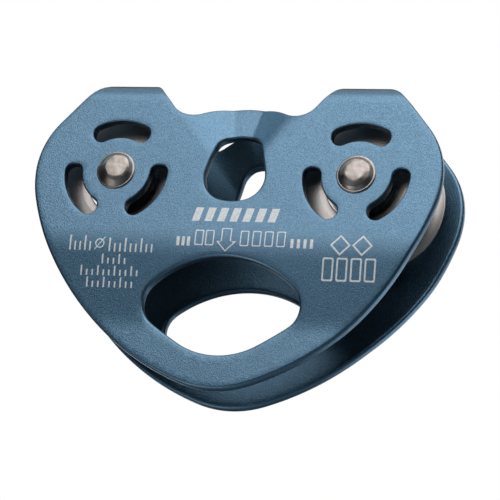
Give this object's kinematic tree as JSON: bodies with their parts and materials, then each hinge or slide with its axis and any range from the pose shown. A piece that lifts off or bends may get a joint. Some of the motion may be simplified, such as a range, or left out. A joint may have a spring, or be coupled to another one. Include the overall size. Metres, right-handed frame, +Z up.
{
  "type": "rope pulley",
  "caption": "Tandem rope pulley: a folded plate with an upper and a lower eye carries grooved ball-bearing sheaves side by side on riveted axles.",
  "frame": {"origin": "midway between the two axles, on the middle plane between the cheeks, inside the upper eye", "axes": "+X from the left axle to the right axle, +Y along the axles from the front cheek to the back cheek, +Z up, from the lower eye to the bridges"},
  "size_m": [0.1084, 0.0334, 0.0819],
  "materials": {
    "blue_anodised_plate": "blue anodised, fine satin grain",
    "sheave_metal": "turned, satin",
    "axle_steel": "polished, riveted over",
    "spacer_steel": "turned",
    "bearing_steel": "ground",
    "cage_brass": "pressed",
    "seal_rubber": "matte"
  },
  "bodies": {
    "frame": {"folded_frame": "blue_anodised_plate", "left_axle": "axle_steel", "right_axle": "axle_steel", "left_bearing_separator": "spacer_steel", "right_bearing_separator": "spacer_steel", "left_front_spacer": "spacer_steel", "left_back_spacer": "spacer_steel", "right_front_spacer": "spacer_steel", "right_back_spacer": "spacer_steel", "left_front_inner_race": "bearing_steel", "left_back_inner_race": "bearing_steel", "right_front_inner_race": "bearing_steel", "right_back_inner_race": "bearing_steel"},
    "left_wheel": {"left_sheave": "sheave_metal", "left_front_outer_race": "bearing_steel", "left_front_outer_seal": "seal_rubber", "left_front_inner_seal": "seal_rubber", "left_back_outer_race": "bearing_steel", "left_back_outer_seal": "seal_rubber", "left_back_inner_seal": "seal_rubber"},
    "left_front_ball_ring": {"left_front_ball_set": "bearing_steel", "left_front_ball_cage": "cage_brass"},
    "left_back_ball_ring": {"left_back_ball_set": "bearing_steel", "left_back_ball_cage": "cage_brass"},
    "right_wheel": {"right_sheave": "sheave_metal", "right_front_outer_race": "bearing_steel", "right_front_outer_seal": "seal_rubber", "right_front_inner_seal": "seal_rubber", "right_back_outer_race": "bearing_steel", "right_back_outer_seal": "seal_rubber", "right_back_inner_seal": "seal_rubber"},
    "right_front_ball_ring": {"right_front_ball_set": "bearing_steel", "right_front_ball_cage": "cage_brass"},
    "right_back_ball_ring": {"right_back_ball_set": "bearing_steel", "right_back_ball_cage": "cage_brass"}
  },
  "joints": [
    {"name": "left_wheel_spin", "type": "hinge", "parent": "frame", "child": "left_wheel", "pos_m": [-0.032, 0, 0], "axis": [0, 1, 0], "continuous": true},
    {"name": "left_front_ball_ring_spin", "type": "hinge", "parent": "frame", "child": "left_front_ball_ring", "pos_m": [-0.032, 0, 0], "axis": [0, 1, 0], "continuous": true},
    {"name": "left_back_ball_ring_spin", "type": "hinge", "parent": "frame", "child": "left_back_ball_ring", "pos_m": [-0.032, 0, 0], "axis": [0, 1, 0], "continuous": true},
    {"name": "right_wheel_spin", "type": "hinge", "parent": "frame", "child": "right_wheel", "pos_m": [0.032, 0, 0], "axis": [0, 1, 0], "continuous": true},
    {"name": "right_front_ball_ring_spin", "type": "hinge", "parent": "frame", "child": "right_front_ball_ring", "pos_m": [0.032, 0, 0], "axis": [0, 1, 0], "continuous": true},
    {"name": "right_back_ball_ring_spin", "type": "hinge", "parent": "frame", "child": "right_back_ball_ring", "pos_m": [0.032, 0, 0], "axis": [0, 1, 0], "continuous": true}
  ],
  "couplings": [
    {"joint": "left_front_ball_ring_spin", "follows": "left_wheel_spin", "ratio": 0.6176},
    {"joint": "left_back_ball_ring_spin", "follows": "left_wheel_spin", "ratio": 0.6176},
    {"joint": "right_front_ball_ring_spin", "follows": "right_wheel_spin", "ratio": 0.6176},
    {"joint": "right_back_ball_ring_spin", "follows": "right_wheel_spin", "ratio": 0.6176}
  ]
}
